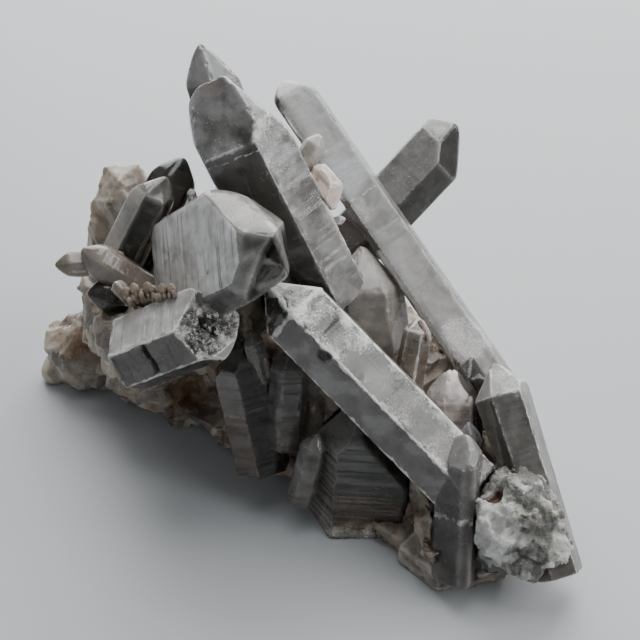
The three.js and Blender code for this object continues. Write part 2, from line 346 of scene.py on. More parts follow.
@dataclass(frozen=True)
class Crystal:
    """One crystal. tip and root are on its axis, and roll turns its first prism face.

    half is the distance of each prism face from the axis, cap moves each tip face out along
    its own normal, taper is the root's width over the tip's, and broken leans and sets back
    the plane that the tip is broken off at.
    """

    tip: Triple
    root: Triple
    roll: float = 0.0
    half: float | Six = 4.0
    cap: float | Six = 0.0
    taper: float = 1.0
    broken: Triple | None = None
    growth: Growth = Growth()
    seed: int = 1
    lean: float | Six = TIP_ANGLE

    def axes(self) -> tuple[Array, Array, Array, float]:
        """The directions that the crystal is measured along.

        Returns:
            The axis, the two directions across it, and the crystal's length.
        """
        run = np.subtract(self.tip, self.root).astype(float)
        length = float(np.linalg.norm(run))
        axis = run / length
        across = np.cross(axis, (0.0, 0.0, 1.0))
        across /= np.linalg.norm(across)
        return axis, across, np.cross(axis, across), length

    def faces(self) -> tuple[Array, Array, Array]:
        """The flat faces.

        Returns:
            Outward normals, distances from the tip along them, and the kind of each face.
        """
        axis, across, around, length = self.axes()
        half, cap = six(self.half), six(self.cap)
        turn = np.radians(self.roll + 60.0 * np.arange(6))[:, None]
        outward = np.cos(turn) * across + np.sin(turn) * around
        prism = outward - (half * (1.0 - self.taper) / length)[:, None] * axis
        lean = np.radians(six(self.lean))[:, None]
        ends = np.sin(lean) * outward + np.cos(lean) * axis
        normals = [-axis[None], prism, ends, np.array([[0.0, 0.0, -1.0]])]
        distances = [[length], half, cap, [self.tip[2] - UNDERSIDE]]
        kinds = [Kind.ROOT] + [Kind.PRISM] * 6 + [Kind.TIP] * 6 + [Kind.ROOT]
        if self.broken:
            lean_across, lean_around, back = self.broken
            normals.append((axis + lean_across * across + lean_around * around)[None])
            distances.append([-back])
            kinds.append(Kind.BROKEN)
        stacked = np.concatenate(normals)
        size = np.linalg.norm(stacked, axis=1)
        offsets = np.concatenate([np.asarray(d, float) for d in distances]) / size
        return stacked / size[:, None], offsets, np.array([k.value for k in kinds])

    def columns(self, step: float) -> Array:
        """Angles round the axis: denser at the prism edges, and one exactly on each edge.

        Args:
            step: wanted distance between columns in millimetres.

        Returns:
            Angles in radians, rising through one turn.
        """
        half = six(self.half)
        after = np.roll(half, -1)
        slant = math.radians(60.0)
        inner = np.arctan2(after - half * math.cos(slant), half * math.sin(slant))
        base = np.radians(self.roll + 60.0 * np.arange(6))
        corners = np.unwrap(base + inner)
        ends = np.append(corners[1:], corners[0] + 2.0 * math.pi)
        reach = half / np.maximum(np.cos(inner), 0.2)
        parts = []
        for start, end, radius in zip(corners, ends, reach):
            count = max(5, int(abs(end - start) * radius / step))
            even = np.arange(count) / count
            dense = (1.0 - np.cos(math.pi * even)) / 2.0
            parts.append(start + (end - start) * (0.55 * even + 0.45 * dense))
        return np.concatenate(parts)

    def rows(self, step: float) -> tuple[Array, Array]:
        """Where each row's rays start on the axis, and how far they lean towards the tip.

        Args:
            step: wanted distance between rows in millimetres.

        Returns:
            Distances from the tip along the axis, and angles in radians.
        """
        axis = self.axes()[0]
        normals, offsets, _ = self.faces()
        slope = normals @ axis
        top = float(np.min(offsets[slope > 1e-6] / slope[slope > 1e-6]))
        bottom = float(np.max(offsets[slope < -1e-6] / slope[slope < -1e-6]))
        width = float(six(self.half).mean())
        high = top - 0.9 * width
        low = bottom + 0.5 * width
        if high < low + 0.5:
            high = low = (top + bottom) / 2.0
        shaft = max(2, int((high - low) / step))
        cap = max(8, int(1.9 * width / step))
        foot = max(4, int(0.9 * width / step))
        places = [np.full(foot, low), np.linspace(low, high, shaft), np.full(cap, high)]
        leans = [
            np.linspace(-math.pi / 2, 0.0, foot, endpoint=False),
            np.zeros(shaft),
            np.linspace(0.0, math.pi / 2, cap + 1)[1:],
        ]
        return np.concatenate(places), np.concatenate(leans)

    def skin(self, step: float) -> Skin:
        """The surface on its grid.

        Each ray's length is the least of (distance left to a face) / (how fast the ray nears
        it). Three steps of Newton's rule then pull the corner in, until the sum of the
        exponentials of the distances past all faces is one, which rounds every edge.

        Args:
            step: grid size in millimetres.

        Returns:
            The closed surface.
        """
        axis, across, around, _ = self.axes()
        normals, offsets, kinds = self.faces()
        turn = self.columns(step)
        place, lean = self.rows(step)
        origin = np.array(self.tip) + place[:, None, None] * axis
        flat = np.cos(turn)[:, None] * across + np.sin(turn)[:, None] * around
        ray = np.cos(lean)[:, None, None] * flat + np.sin(lean)[:, None, None] * axis
        start = (origin - np.array(self.tip)) @ normals.T
        speed = ray @ normals.T
        left = np.where(speed > 1e-6, (offsets - start) / np.maximum(speed, 1e-6), np.inf)
        reach = left.min(axis=-1)
        beyond = start + speed * reach[..., None] - offsets
        edge = -np.sort(beyond, axis=-1)[..., -2]
        face = beyond.argmax(axis=-1)
        soft = min(self.growth.rounding, 0.11 * float(six(self.half).min()))
        sharp = reach
        for _ in range(3):
            beyond = start + speed * reach[..., None] - offsets
            weight = np.exp(np.clip(beyond / soft, -40.0, 20.0))
            total = weight.sum(axis=-1)
            slope = (weight * speed).sum(axis=-1) / total
            reach = reach - soft * np.log(total) / np.maximum(slope, 0.1)
            reach = np.clip(reach, 0.4 * sharp, sharp)
        hits = Hits(origin + reach[..., None] * ray, normals[face], kinds[face], face, edge)
        nearing = np.maximum((hits.normal * ray).sum(axis=-1), 0.35)
        hits.point = hits.point + (self.relief(hits) / nearing)[..., None] * ray
        hits.point[..., 2] = np.maximum(hits.point[..., 2], UNDERSIDE)
        return close_grid(hits.point, *self.marks(hits))

    def relief(self, hits: Hits) -> Array:
        """How far each point lies above its flat face.

        Striations are noise that varies only along the axis, squeezed into steps. Every face
        is also a little wavy, a broken end is rough, and edges are nicked where a slow noise
        is high.

        Args:
            hits: where the rays leave the flat faces.

        Returns:
            Heights in millimetres, mostly below zero.
        """
        grow, point, face, edge = self.growth, hits.point, hits.face, hits.edge
        along = (point - np.array(self.tip)) @ self.axes()[0]
        side = self.sideways(hits)
        flat = smoothstep(0.05, 0.8, edge)
        bands = np.stack([along, 37.0 * face + side / 25.0, 0.0 * along], -1)
        steps = np.tanh(3.0 * noise(bands, 2.4, self.seed, 4)) - 0.6
        depth = grow.striation * steps * (hits.kind == Kind.PRISM.value)
        depth = depth + grow.waviness * noise(point + 5.0 * face[..., None], 4.5, self.seed + 3, 3)
        for groove in grow.grooves:
            depth = depth - groove.depth * groove.weight(-along, side, face)
        depth = depth * flat
        for patch in grow.patches:
            if patch.dent:
                depth = depth - patch.dent * patch.weight(point)
        broken = hits.kind == Kind.BROKEN.value
        if broken.any():
            rough = np.zeros_like(depth)
            rough[broken] = 0.7 * shards(point[broken], 3.2, self.seed + 5) - 0.4
            rough[broken] += 0.4 * shards(point[broken], 1.3, self.seed + 6)
            depth = depth + grow.broken_depth * rough * flat
        nick = smoothstep(0.0, 0.7, noise(point, 1.3, self.seed + 13, 2))
        return depth - grow.chips * nick * (1.0 - smoothstep(0.0, grow.chip_reach, edge))

    def sideways(self, hits: Hits) -> Array:
        """Distance across a face from its middle line, in millimetres."""
        over = np.cross(hits.normal, self.axes()[0])
        return ((hits.point - np.array(self.tip)) * over).sum(axis=-1)

    def marks(self, hits: Hits) -> tuple[Array, Array]:
        """What the finish reads at each point.

        Args:
            hits: the places on the finished surface and the flat faces that they lie on.

        Returns:
            habit (dust, haze, stain, edge) and growth (distance from the tip in decimetres,
            kind of face, tone of the face, distance across the face in decimetres plus a half).
            The dust also carries painted edge highlights, and the haze painted light and shade of the faces.
        """
        grow, point, face, edge = self.growth, hits.point, hits.face, hits.edge
        down = -(point - np.array(self.tip)) @ self.axes()[0]
        patchy = noise(point, 3.2, self.seed + 21, 3)
        up = smoothstep(-0.1, 0.8, hits.normal[..., 2])
        dust = grow.dust * up * (1.0 + 0.5 * patchy)
        dust = dust + grow.tip_frost * (1.0 - smoothstep(0.0, grow.frost_reach, down + patchy))
        # A ragged white line along the edges: partly wear, partly a painted highlight where light catches
        # them.
        ragged = grow.worn_with_lit_edges * (1.0 + 1.3 * noise(point, 1.4, self.seed + 23, 3))
        edge_wear_and_highlight = 1.0 - smoothstep(0.3, 1.0, edge / np.maximum(ragged, 0.02))
        dust = dust + min(0.9, 3.0 * grow.worn_with_lit_edges) * edge_wear_and_highlight
        if grow.crumbs:
            strewn = smoothstep(-0.4, 0.5, noise(point, 3.0, self.seed + 25, 3))
            strewn = strewn * smoothstep(0.1, 0.5, hits.normal[..., 2])
            dust = dust + 0.55 * strewn * (1.0 - smoothstep(0.0, grow.crumbs, edge))
        veil = noise(point * np.array((1.0, 1.0, 2.0)), 6.0, self.seed + 31, 4)
        # The milkiness of each face, set face by face, is partly real and partly paints that face lighter or
        # darker as the light falls on it.
        tips = six(grow.tip_haze)
        own = np.concatenate([[BURIED_HAZE], six(grow.haze), tips, [BURIED_HAZE], tips[:1]])[face]
        haze = own * (1.0 + grow.cloud * (2.0 * smoothstep(-0.5, 0.5, veil) - 1.0))
        # Milkiness along the edges, which paints the glow of light through the thin edges.
        haze = haze + grow.rim_glow * (1.0 - smoothstep(0.0, grow.rim_width, edge)) ** 2
        sugar = smoothstep(-0.4, 0.6, noise(point, 1.3, self.seed + 41, 3))
        broken = (hits.kind == Kind.BROKEN.value) & (grow.broken_depth > 0.5)
        dust = np.where(broken, 0.5 * sugar, dust)
        haze = np.where(broken, 0.1 + 0.3 * sugar, haze)
        stain = grow.stain * smoothstep(grow.stain_from * 0.6, grow.stain_from * 1.4, down)
        stain = (stain + grow.tip_stain * (1.0 - smoothstep(0.0, 5.0, down))) * (1.0 + 0.5 * patchy)
        for patch in grow.patches:
            weight = patch.weight(point)
            dust = dust + patch.dust * weight
            haze = haze + patch.haze * weight
            stain = stain + patch.stain * weight
        side = self.sideways(hits)
        for groove in grow.grooves:
            weight = groove.weight(down, side, face)
            dust = dust + (groove.dust + 0.6 * noise(point, 0.8, self.seed) * (groove.dust > 0)) * weight
            haze = haze * (1.0 - weight * (groove.dust == 0))
        tone = lattice(np.stack([face, face * 0 + self.seed, face * 0], -1), 5) * 0.5 + 0.5
        habit = np.stack([dust, haze, stain, edge / 2.0], -1)
        growth = np.stack([down / 100.0, hits.kind, tone, side / 100.0 + 0.5], -1)
        return np.clip(habit, 0.0, 1.0), np.clip(growth, 0.0, 1.0)


def close_grid(point: Array, habit: Array, growth: Array) -> Skin:
    """Joins a grid's last column to its first, and draws its end rows together to a point.

    Args:
        point: rows by columns of places.
        habit: the first marks on the same grid.
        growth: the second marks on the same grid.

    Returns:
        The closed surface.
    """
    rows, cols = point.shape[:2]
    index = np.arange(rows * cols).reshape(rows, cols)
    after = np.roll(index, -1, axis=1)
    quads = np.stack([index[1:-2], after[1:-2], after[2:-1], index[2:-1]], -1).reshape(-1, 4)
    foot, top = rows * cols, rows * cols + 1
    low = np.stack([np.full(cols, foot), after[1], index[1]], -1)
    high = np.stack([np.full(cols, top), index[-2], after[-2]], -1)

    def flatten(grid: Array) -> Array:
        """The grid as a list, with the means of the end rows after it."""
        width = grid.shape[-1]
        ends = np.stack([grid[0].mean(axis=0), grid[-1].mean(axis=0)])
        return np.concatenate([grid.reshape(-1, width), ends])

    return Skin(flatten(point), quads, np.concatenate([low, high]), flatten(habit), flatten(growth))


def linked(name: str, data: bpy.types.ID) -> bpy.types.Object:
    """Puts something into the scene.

    Args:
        name: the object's name.
        data: its mesh, light or camera.

    Returns:
        The object.
    """
    thing = bpy.data.objects.new(name, data)
    bpy.context.scene.collection.objects.link(thing)
    return thing


def paint(mesh: bpy.types.Mesh, title: str, values: Array) -> None:
    """Writes four numbers at each point of a mesh, for its finish to read."""
    layer = mesh.color_attributes.new(title, "FLOAT_COLOR", "POINT")
    layer.data.foreach_set("color", values.astype(np.float32).ravel())


def mesh_object(name: str, skins: Sequence[Skin]) -> bpy.types.Object:
    """One mesh object of several closed surfaces.

    Args:
        name: name of the piece.
        skins: its surfaces, in millimetres.

    Returns:
        The object, at the origin, with its place in its mesh.
    """
    shift = np.cumsum([0] + [len(s.points) for s in skins[:-1]])
    points = np.concatenate([s.points for s in skins]) * MM
    quads = np.concatenate([s.quads + k for s, k in zip(skins, shift)])
    triangles = np.concatenate([s.triangles + k for s, k in zip(skins, shift)])
    corners = np.concatenate([quads.ravel(), triangles.ravel()])
    used, corners = np.unique(corners, return_inverse=True)
    faces = corners[: quads.size].reshape(-1, 4).tolist()
    faces += corners[quads.size :].reshape(-1, 3).tolist()
    mesh = bpy.data.meshes.new(name)
    mesh.from_pydata(points[used], [], faces)
    for title in ("habit", "growth"):
        paint(mesh, title, np.concatenate([getattr(s, title) for s in skins])[used])
    mesh.shade_smooth()
    mesh.validate()
    return linked(name, mesh)


# ---------------------------------------------------------------- finishes


def add(tree: Tree, kind: str, links: dict | None = None, **settings: object) -> bpy.types.Node:
    """Adds a node with its settings and what feeds it.

    Args:
        tree: the node tree.
        kind: the node's type name, without the shader prefix.
        links: input name or number, and the socket or the plain value that goes in.
        **settings: the node's own properties.

    Returns:
        The node.
    """
    node = tree.nodes.new("ShaderNode" + kind)
    for key, value in settings.items():
        setattr(node, key, value)
    for key, value in (links or {}).items():
        if isinstance(value, Socket):
            tree.links.new(value, node.inputs[key])
        else:
            node.inputs[key].default_value = value
    return node


def rise(tree: Tree, *parts: Socket | float) -> Socket:
    """A soft ramp: parts are the value, where the ramp starts and ends, and what it gives there."""
    return add(tree, "MapRange", dict(enumerate(parts)), interpolation_type="SMOOTHSTEP").outputs[0]


def fresh(name: str) -> tuple[bpy.types.Material, Tree, bpy.types.Node]:
    """Starts a material.

    Args:
        name: its name.

    Returns:
        The material, its node tree and its output node.
    """
    material = bpy.data.materials.new(name)
    material.use_nodes = True
    material.node_tree.nodes.clear()
    return material, material.node_tree, add(material.node_tree, "OutputMaterial")


def millimetres(tree: Tree) -> Socket:
    """Object coordinates in millimetres."""
    place = add(tree, "TexCoord").outputs["Object"]
    return add(tree, "Mapping", {"Vector": place, "Scale": (1000.0,) * 3}).outputs[0]


def calc(tree: Tree, rule: str, *parts: Socket | float, clamp: bool = False) -> Socket:
    """A sum of sockets and numbers, worked out by one Math node."""
    return add(tree, "Math", dict(enumerate(parts)), operation=rule, use_clamp=clamp).outputs[0]


def blend(tree: Tree, amount: Socket, low: Colour | Socket, high: Colour | Socket) -> Socket:
    """Mixes two colours, each a linear colour or a socket."""
    return add(tree, "Mix", {0: amount, 6: low, 7: high}, data_type="RGBA").outputs[2]


@dataclass(frozen=True)
class SmokyQuartz:
    """Smoky quartz crystal: glassy inside, with natural growth faces, dusty and etched on top.

    The eye sees grey-brown glass that darkens with depth, milky veils in it, fine lines across
    the prism faces, and white specks and rubbed white edges on it; some specks are painted glints,
    and the white edges are partly a painted highlight.
    """

    name: str
    glass: str = "#d8d4cd"
    haze: str = "#e0e0de"
    dust: str = "#e2e0dc"
    stain: str = "#8a6a49"
    smoke: str = "#938c85"
    density: float = 330.0
    roughness: float = 0.07
    lines: float = 0.1
    line_size: float = 0.8
    line_share: float = 0.5
    etch: float = 0.35

    def make(self) -> bpy.types.Material:
        """Builds the material, or finds it if it is made already.

        Returns:
            The material: a principled shader with quartz's IOR over a plain absorption.
        """
        if self.name in bpy.data.materials:
            return bpy.data.materials[self.name]
        material, tree, out = fresh(self.name)
        place = millimetres(tree)
        habit = add(tree, "Attribute", attribute_name="habit")
        dusty, milky, stained = add(tree, "SeparateColor", {0: habit.outputs["Color"]}).outputs
        noises = (
            {"Scale": 0.5, "Detail": 3.0, "Roughness": 0.6},  # mottling of 2 mm
            {"Scale": 2.6, "Detail": 2.0, "Roughness": 0.7},  # speckle of 0.4 mm
            {"Scale": 0.25, "Detail": 4.0, "Roughness": 0.6, "Distortion": 0.5},  # veils of 4 mm
            {"Scale": 4.2, "Detail": 1.0, "Roughness": 0.5},  # painted glints of 0.25 mm
        )
        mottle, speckle, veil, glint_noise = (
            add(tree, "TexNoise", {"Vector": place, **size}).outputs[0] for size in noises
        )
        lines = self.fine_lines(tree)
        # Milky veils, drawn out into wisps, and the lines through them.
        haze = calc(tree, "MULTIPLY", milky, rise(tree, veil, 0.35, 0.65, 0.8, 1.2))
        haze = calc(tree, "MULTIPLY", haze, calc(tree, "MULTIPLY_ADD", lines, -self.lines, 1.0), clamp=True)
        # Dust and etch marks with ragged borders, and single bright specks that are painted glints.
        ragged = calc(tree, "MULTIPLY_ADD", speckle, 1.3, -0.65)
        ragged = calc(tree, "ADD", calc(tree, "MULTIPLY_ADD", mottle, 1.2, ragged), dusty)
        dust = rise(tree, ragged, 0.9, 1.9, 0.0, 0.5)
        glint_cells = add(tree, "TexVoronoi", {"Vector": place, "Scale": 1.3})
        glint_chosen = add(tree, "SeparateColor", {0: glint_cells.outputs["Color"]}).outputs[0]
        glint_chosen = calc(tree, "GREATER_THAN", calc(tree, "MULTIPLY", glint_chosen, dusty), 0.4)
        small = calc(tree, "LESS_THAN", glint_cells.outputs["Distance"], 0.2)
        dust = calc(tree, "MAXIMUM", dust, calc(tree, "MULTIPLY", glint_chosen, small))
        # Tiny white dots, more of them where the dust is: more painted glints.
        painted_glints = rise(tree, calc(tree, "MULTIPLY_ADD", dusty, 0.4, glint_noise), 0.81, 0.86, 0.0, 1.0)
        dust = calc(tree, "MAXIMUM", dust, painted_glints)
        # The glass is clear where neither milk nor dust covers it.
        body = blend(tree, haze, linear(self.glass), linear(self.haze))
        body = blend(tree, stained, body, linear(self.stain))
        colour = blend(tree, dust, body, linear(self.dust))
        # The glass is clear where neither milk nor dust, with its painted glints, covers it.
        clear = calc(tree, "SUBTRACT", 1.0, haze)
        through = calc(tree, "MULTIPLY", clear, calc(tree, "SUBTRACT", 1.0, dust), clamp=True)
        # Etched faces are duller and grainy, and the lines are cut into them.
        dull = calc(tree, "MULTIPLY_ADD", dusty, self.etch, self.roughness)
        gloss = calc(tree, "MULTIPLY_ADD", dust, 0.25, dull)
        grain = calc(tree, "MULTIPLY", calc(tree, "MULTIPLY_ADD", mottle, 2.0, speckle), dusty)
        deep = 0.09 * MM
        etched = add(tree, "Bump", {"Strength": 0.8, "Distance": deep, "Height": grain}).outputs[0]
        line = {"Strength": 1.0, "Distance": deep * self.lines, "Height": lines, "Normal": etched}
        cut = add(tree, "Bump", line)
        shader = add(
            tree,
            "BsdfPrincipled",
            {
                "Base Color": colour,
                "Roughness": gloss,
                "Transmission Weight": through,
                "IOR": QUARTZ_IOR,
                "Normal": cut.outputs[0],
            },
        )
        absorb = add(tree, "VolumeAbsorption", {"Color": linear(self.smoke), "Density": self.density})
        tree.links.new(shader.outputs[0], out.inputs["Surface"])
        tree.links.new(absorb.outputs[0], out.inputs["Volume"])
        return material

    def fine_lines(self, tree: Tree) -> Socket:
        """Growth lines: noise squeezed along the axis and drawn out across the face.

        Args:
            tree: the material's node tree.

        Returns:
            0 off the lines, 1 on them.
        """
        growth = add(tree, "Attribute", attribute_name="growth")
        down, kind, tone = add(tree, "SeparateColor", {0: growth.outputs["Color"]}).outputs
        along = calc(tree, "MULTIPLY", down, 100.0 / self.line_size)
        across = calc(tree, "MULTIPLY", growth.outputs["Alpha"], 100.0 / 60.0)
        face = calc(tree, "MULTIPLY", tone, 50.0)
        where = add(tree, "CombineXYZ", {0: along, 1: across, 2: face}).outputs[0]
        fine = add(tree, "TexNoise", {"Vector": where, "Scale": 1.0, "Detail": 3.0, "Roughness": 0.75})
        start = 0.62 - 0.2 * self.line_share
        sharp = rise(tree, fine.outputs[0], start, start + 0.09, 0.0, 1.0)
        return calc(tree, "MULTIPLY", sharp, calc(tree, "COMPARE", kind, Kind.PRISM.value, 0.1))


@dataclass(frozen=True)
class MassiveQuartz:
    """Massive milky quartz with iron stain: broken and weathered, uneven and waxy.

    The eye sees translucent white and cream stone with soft grey glassy parts, brown stain in
    places, and a sugary grain.
    """

    name: str
    white: str = "#e9e3d9"
    cream: str = "#bfae98"
    glassy: str = "#77716b"
    stain: str = "#6d5238"
    grain: float = 0.9
    stained: float = 0.3
    glass: float = 0.4
    relief: float = 0.4

    def make(self) -> bpy.types.Material:
        """Builds the material.

        Returns:
            The material: an opaque, slightly waxy principled shader.
        """
        material, tree, out = fresh(self.name)
        place = millimetres(tree)
        habit = add(tree, "Attribute", attribute_name="habit")
        stained, tone, glassy = add(tree, "SeparateColor", {0: habit.outputs["Color"]}).outputs
        patch = add(
            tree,
            "TexNoise",
            {"Vector": place, "Scale": 0.16, "Detail": 6.0, "Roughness": 0.7, "Distortion": 0.5},
        ).outputs[0]
        grain = add(
            tree, "TexNoise", {"Vector": place, "Scale": 1.0 / self.grain, "Detail": 4.0, "Roughness": 0.75}
        ).outputs[0]
        sugar = add(tree, "TexVoronoi", {"Vector": place, "Scale": 1.6 / self.grain}).outputs["Distance"]
        light = calc(tree, "MULTIPLY_ADD", patch, 1.3, calc(tree, "MULTIPLY", tone, 0.3))
        light = calc(tree, "MULTIPLY_ADD", grain, 0.35, light)
        pale = rise(tree, light, 0.7, 1.25, 0.0, 1.0)
        colour = blend(tree, pale, linear(self.cream), linear(self.white))
        grey = calc(tree, "MULTIPLY_ADD", glassy, 0.45, calc(tree, "MULTIPLY_ADD", grain, 0.6, patch))
        grey = calc(tree, "ADD", grey, self.glass)
        grey = rise(tree, grey, 1.1, 1.6, 0.0, 0.85)
        colour = blend(tree, grey, colour, linear(self.glassy))
        rust = calc(tree, "MULTIPLY_ADD", patch, 0.8, calc(tree, "MULTIPLY_ADD", grain, 0.3, stained))
        rust = calc(tree, "ADD", rust, self.stained)
        rust = rise(tree, rust, 1.0, 1.5, 0.0, 0.9)
        colour = blend(tree, rust, colour, linear(self.stain))
        height = calc(tree, "MULTIPLY_ADD", sugar, 0.5, grain)
        bump = add(tree, "Bump", {"Strength": self.relief, "Distance": 0.3 * MM, "Height": height})
        gloss = add(tree, "MapRange", {0: grey, 1: 0.0, 2: 1.0, 3: 0.45, 4: 0.2})
        shader = add(
            tree,
            "BsdfPrincipled",
            {
                "Base Color": colour,
                "Roughness": gloss.outputs[0],
                "IOR": QUARTZ_IOR,
                "Subsurface Weight": 0.35,
                "Subsurface Radius": (2.8 * MM, 2.2 * MM, 1.7 * MM),
                "Subsurface Scale": 1.0,
                "Normal": bump.outputs[0],
            },
        )
        tree.links.new(shader.outputs[0], out.inputs["Surface"])
        return material


# ---------------------------------------------------------------- sub-assemblies


def settle(piece: bpy.types.Object, node: str) -> None:
    """Ties a piece to the body, hides the solid that it stands for, and logs it.

    Args:
        piece: the finished object.
        node: name of the solid's node in the frame.
    """
    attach(piece, "root")
    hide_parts(node)
    LOG.info("%s stands for %s with %d faces", piece.name, node, len(piece.data.polygons))


@dataclass(frozen=True)
class CrystalGroup:
    """Crystals of one finish that stand for a solid of the frame, or for a part of it."""

    name: str
    node: str
    crystals: tuple[Crystal, ...]
    finish: SmokyQuartz
    step: float = 0.3

    def build(self) -> bpy.types.Object:
        """Makes the piece and dresses it.

        Returns:
            The finished object.
        """
        widths = [float(six(crystal.half).mean()) for crystal in self.crystals]
        steps = [min(self.step, max(FINEST_STEP, width / 9.0)) for width in widths]
        skins = [crystal.skin(step) for crystal, step in zip(self.crystals, steps)]
        piece = mesh_object(self.name, skins)
        piece.data.materials.append(self.finish.make())
        settle(piece, self.node)
        return piece


def drop_crumbs(mesh: bpy.types.Mesh) -> None:
    """Takes away all but the largest connected body of a mesh.

    Each vertex takes the lowest number among its neighbours until none changes.

    Args:
        mesh: the mesh, changed in place.
    """
    ends = np.empty(len(mesh.edges) * 2, np.int32)
    mesh.edges.foreach_get("vertices", ends)
    first, second = ends.reshape(-1, 2).T
    body = np.arange(len(mesh.vertices))
    while True:
        lowest = body.copy()
        np.minimum.at(lowest, first, body[second])
        np.minimum.at(lowest, second, body[first])
        lowest = lowest[lowest]
        if np.array_equal(lowest, body):
            break
        body = lowest
    main_body = np.bincount(body).argmax()
    shape = bmesh.new()
    shape.from_mesh(mesh)
    shape.verts.ensure_lookup_table()
    loose = [shape.verts[i] for i in np.flatnonzero(body != main_body)]
    bmesh.ops.delete(shape, geom=loose, context="VERTS")
    shape.to_mesh(mesh)
    shape.free()


@dataclass(frozen=True)
class Rock:
    """A rough lump: the frame's own solid, re-meshed and broken into shards.

    voxel: size of the new mesh's cells in millimetres.
    layers: size and height of each layer of shards in millimetres.
    soft: height of the smooth unevenness.
    inward: how far the whole surface lies below the solid's.
    patches: places with a look of their own: dust whitens, haze turns grey and glassy.
    """

    name: str
    node: str
    finish: MassiveQuartz
    voxel: float = 0.6
    layers: tuple[tuple[float, float], ...] = ((9.0, 1.3), (3.6, 0.5), (1.4, 0.16))
    soft: float = 0.5
    inward: float = 0.5
    patches: tuple[Patch, ...] = ()
    seed: int = 7

    def remesh(self) -> bpy.types.Mesh:
        """Merges the frame's solid and cuts it into even cells.

        Returns:
            The new mesh.
        """
        source = FRAME["nodes"][self.node]
        copy = linked(self.name + "_cells", source.data.copy())
        weld = copy.modifiers.new("weld", "WELD")
        weld.merge_threshold = 0.002 * MM
        cut = copy.modifiers.new("cells", "REMESH")
        cut.mode = "VOXEL"
        cut.voxel_size = self.voxel * MM
        graph = bpy.context.evaluated_depsgraph_get()
        mesh = bpy.data.meshes.new_from_object(copy.evaluated_get(graph))
        bpy.data.objects.remove(copy)
        drop_crumbs(mesh)
        return mesh

    def build(self) -> bpy.types.Object:
        """Makes the piece and dresses it.

        Each point moves along its normal by the sum of the shard layers and of smooth noise.
        Nothing goes below the flat underside.

        Returns:
            The finished object.
        """
        mesh = self.remesh()
        mesh.name = self.name
        count = len(mesh.vertices)
        flat = np.empty(count * 3, np.float32)
        mesh.vertices.foreach_get("co", flat)
        points = flat.reshape(-1, 3).astype(float) / MM
        mesh.vertex_normals.foreach_get("vector", flat)
        normals = flat.reshape(-1, 3).astype(float)
        lift = self.soft * noise(points, 5.0, self.seed, 3) - self.inward
        for k, (size, tall) in enumerate(self.layers):
            lift = lift + tall * shards(points, size, self.seed + 20 * k)
        marks = np.zeros((count, 4))
        for patch in self.patches:
            weight = patch.weight(points)
            lift = lift - patch.dent * weight
            marks[:, :3] += weight[:, None] * np.array((patch.stain, patch.dust, patch.haze))
        moved = points + lift[:, None] * normals
        moved[:, 2] = np.maximum(moved[:, 2], UNDERSIDE)
        mesh.vertices.foreach_set("co", (moved * MM).astype(np.float32).ravel())
        owner = cells(points, self.layers[1][0], self.seed + 20)[1]
        marks[:, 0] += 0.5 * smoothstep(0.1, 1.2, -lift - self.inward)
        marks[:, 1] += lattice(owner, 3) * 0.5 + 0.5
        marks[:, 2] += lattice(owner, 4) * 0.5 + 0.5
        paint(mesh, "habit", np.clip(marks + np.array((0.0, 0.0, 0.0, 1.0)), 0.0, 1.0))
        mesh.shade_smooth()
        mesh.materials.clear()
        mesh.materials.append(self.finish.make())
        mesh.update()
        piece = linked(self.name, mesh)
        settle(piece, self.node)
        return piece


# ---------------------------------------------------------------- the room


@dataclass(frozen=True)
class Softbox:
    """A square soft light that looks at the cluster. Lengths in metres, power in watts."""

    name: str
    place: Triple
    size: float
    power: float

    def build(self) -> None:
        """Sets the light up."""
        data = bpy.data.lights.new(self.name, "AREA")
        data.shape = "SQUARE"
        data.size = self.size
        data.energy = self.power
        lamp = linked(self.name, data)
        lamp.location = self.place
        aim = Vector((0.0, 0.0, 0.035)) - Vector(self.place)
        lamp.rotation_euler = aim.to_track_quat("-Z", "Y").to_euler()


